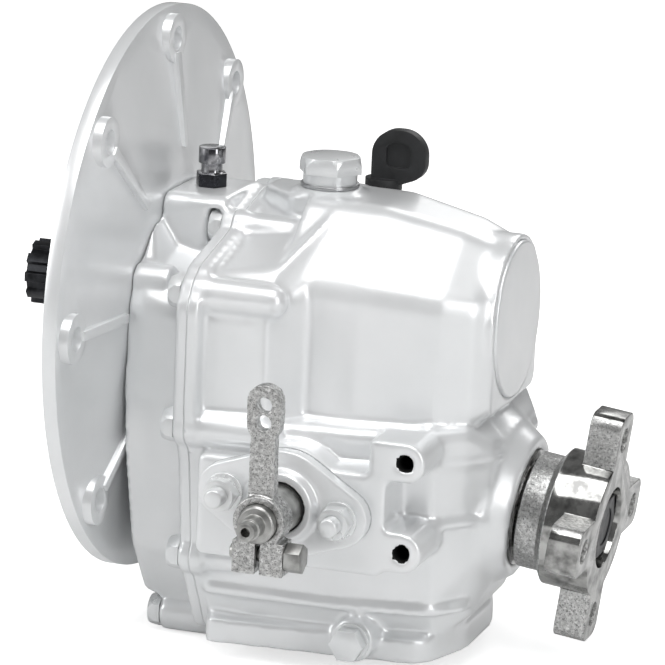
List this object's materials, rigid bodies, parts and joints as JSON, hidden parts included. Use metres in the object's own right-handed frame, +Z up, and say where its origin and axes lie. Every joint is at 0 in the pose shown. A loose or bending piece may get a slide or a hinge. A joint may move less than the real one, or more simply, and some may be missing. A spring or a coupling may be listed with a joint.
{
  "type": "marine gearbox",
  "caption": "Marine reversing gearbox in a cast aluminium case with a large round adapter flange, a lever operated cone clutch and a flanged output coupling on a down angled shaft.",
  "frame": {"origin": "centre of the adapter flange's engine side face, on the input shaft's axis", "axes": "+X aft along the input shaft, from the adapter flange towards the output coupling; -Y towards the shift lever; +Z up"},
  "size_m": [0.268, 0.253, 0.2667],
  "materials": {
    "painted_casting": "gloss",
    "painted_hardware": "gloss",
    "bright_steel": "ground",
    "ground_steel": "ground",
    "dark_steel": "oiled",
    "plated_forging": "rough",
    "bronze": "satin",
    "seal_rubber": "matt",
    "gasket_sheet": "matt",
    "aluminium_washer": "satin",
    "black_plastic": "matt"
  },
  "bodies": {
    "casing": {"adapter_flange": "painted_casting", "adapter_bolts": "bright_steel", "front_housing": "painted_casting", "housing_gasket": "gasket_sheet", "main_housing": "painted_casting", "housing_bolts": "painted_hardware", "rear_cap": "painted_casting", "input_front_bearing_outer": "bright_steel", "input_rear_bearing_outer": "bright_steel", "output_front_bearing_outer": "bright_steel", "output_rear_bearing_outer": "bright_steel", "input_oil_seal": "seal_rubber", "output_oil_seal": "seal_rubber", "idler_shaft": "bright_steel", "shift_cover": "painted_casting", "shift_cover_gasket": "gasket_sheet", "shift_shaft_seal": "seal_rubber", "shift_cover_studs": "painted_hardware", "shift_cover_washers": "painted_hardware", "shift_cover_nuts": "painted_hardware", "breather_screw": "dark_steel", "filler_plug": "painted_casting", "filler_washer": "aluminium_washer", "drain_plug": "painted_hardware", "drain_washer": "aluminium_washer"},
    "input": {"input_shaft": "dark_steel", "input_front_bearing_inner": "bright_steel", "input_rear_bearing_inner": "bright_steel"},
    "forward_wheel": {"forward_gear": "ground_steel", "forward_gear_bush": "bronze"},
    "reverse_wheel": {"reverse_gear": "ground_steel", "reverse_gear_bush": "bronze"},
    "idler": {"idler_gear": "ground_steel"},
    "output": {"output_shaft": "dark_steel", "output_front_bearing_inner": "bright_steel", "output_rear_bearing_inner": "bright_steel", "forward_spacer": "bright_steel", "reverse_spacer": "bright_steel", "output_coupling": "plated_forging", "coupling_washer": "dark_steel", "coupling_nut": "dark_steel"},
    "sleeve": {"clutch_sleeve": "ground_steel"},
    "shoe": {"shift_shoe": "bronze"},
    "lever": {"shift_shaft": "dark_steel", "shift_lever": "plated_forging", "lever_clamp_bolt": "plated_forging"},
    "dipstick": {"dipstick": "black_plastic"}
  },
  "joints": [
    {"name": "input_spin", "type": "hinge", "parent": "casing", "child": "input", "pos_m": [0, 0, 0], "axis": [1, 0, 0], "continuous": true},
    {"name": "forward_spin", "type": "hinge", "parent": "casing", "child": "forward_wheel", "pos_m": [0.0935, 0, -0.068], "axis": [0.9925, 0, -0.1219], "continuous": true},
    {"name": "reverse_spin", "type": "hinge", "parent": "casing", "child": "reverse_wheel", "pos_m": [0.0935, 0, -0.068], "axis": [0.9925, 0, -0.1219], "continuous": true},
    {"name": "idler_spin", "type": "hinge", "parent": "casing", "child": "idler", "pos_m": [0.12, 0.0246, -0.01886], "axis": [1, 0, 0], "continuous": true},
    {"name": "output_spin", "type": "hinge", "parent": "casing", "child": "output", "pos_m": [0.0935, 0, -0.068], "axis": [0.9925, 0, -0.1219], "continuous": true},
    {"name": "sleeve_slide", "type": "slide", "parent": "output", "child": "sleeve", "axis": [0.9925, 0, -0.1219], "range_m": [-0.00199, 0.00199]},
    {"name": "shoe_slide", "type": "slide", "parent": "casing", "child": "shoe", "axis": [0.9925, 0, -0.1219], "range_m": [-0.00205, 0.00205]},
    {"name": "shift_lever", "type": "hinge", "parent": "casing", "child": "lever", "pos_m": [0.0935, -0.11, -0.065], "axis": [0, 1, 0], "range_deg": [-31, 31]},
    {"name": "dipstick_pull", "type": "slide", "parent": "casing", "child": "dipstick", "axis": [0, 0, 1], "range_m": [0, 0.09]}
  ],
  "couplings": [
    {"joint": "forward_spin", "follows": "input_spin", "ratio": -0.5},
    {"joint": "idler_spin", "follows": "input_spin", "ratio": -1.3846},
    {"joint": "reverse_spin", "follows": "input_spin", "ratio": 0.3913},
    {"joint": "shift_lever", "follows": "sleeve_slide", "rad_per_m": 262.47},
    {"joint": "shoe_slide", "follows": "sleeve_slide", "ratio": 1}
  ]
}
